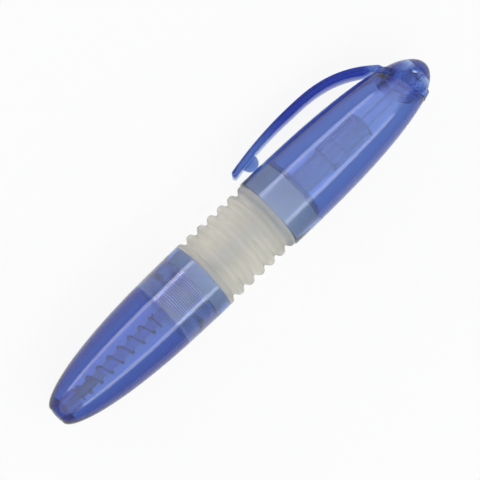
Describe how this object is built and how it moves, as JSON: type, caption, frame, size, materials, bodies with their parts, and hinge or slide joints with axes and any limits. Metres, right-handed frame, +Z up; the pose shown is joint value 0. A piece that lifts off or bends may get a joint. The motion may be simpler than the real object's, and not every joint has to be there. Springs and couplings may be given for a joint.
{
  "type": "lanyard pen",
  "caption": "See-through knock ballpoint with a soft bellows between its two barrels, a side clip and a domed end plug with an eye for a neck cord.",
  "frame": {"origin": "on the surface that the pen lies on, under the middle of its outline", "axes": "+X along the pen from the nose to the domed end, +Y towards the clip's side, +Z up; the pen lies on its barrels with the clip against the surface"},
  "size_m": [0.1178, 0.023, 0.0187],
  "materials": {
    "blue_shell": "polished see-through blue",
    "blue_clip": "polished deep see-through blue",
    "milky_silicone": "milky soft moulding",
    "clear_resin": "clear moulding",
    "white_resin": "natural white moulding",
    "blue_ink": "blue ink",
    "nickel_silver": "turned nickel silver",
    "carbide": "polished hard ball",
    "spring_steel": "bright drawn wire"
  },
  "bodies": {
    "lower_body": {"nose_barrel": "blue_shell", "barrel_connector": "clear_resin", "guide_tube": "clear_resin", "cam_housing": "clear_resin", "bellows": "milky_silicone", "return_spring": "spring_steel"},
    "upper_body": {"upper_barrel": "blue_shell", "bellows_bush": "clear_resin", "clip_ring": "blue_clip", "end_plug": "blue_shell", "push_rod": "white_resin"},
    "clip_body": {"clip_arm": "blue_clip"},
    "refill_body": {"refill_tube": "clear_resin", "ink_column": "blue_ink", "refill_point": "nickel_silver", "cam_rotor": "white_resin"},
    "ball_body": {"point_ball": "carbide"}
  },
  "joints": [
    {"name": "press_slide", "type": "slide", "parent": "lower_body", "child": "upper_body", "axis": [-1, 0, 0], "range_m": [0, 0.0058], "stiffness_N_per_m": 350, "springref_m": -0.004, "deforming": ["bellows"]},
    {"name": "refill_slide", "type": "slide", "parent": "lower_body", "child": "refill_body", "axis": [-1, 0, 0], "range_m": [0, 0.0058], "deforming": ["return_spring"]},
    {"name": "clip_flex", "type": "hinge", "parent": "upper_body", "child": "clip_body", "pos_m": [0.04671, 0.00553, 0.00497], "axis": [0, -0.4931, -0.8699], "range_deg": [0, 6], "stiffness_Nm_per_rad": 0.6},
    {"name": "ball_roll", "type": "hinge", "parent": "refill_body", "child": "ball_body", "pos_m": [-0.05615, -0.00219, 0.00935], "axis": [0, 0.4931, 0.8699], "continuous": true}
  ],
  "couplings": [
    {"joint": "refill_slide", "follows": "press_slide", "ratio": 1}
  ]
}
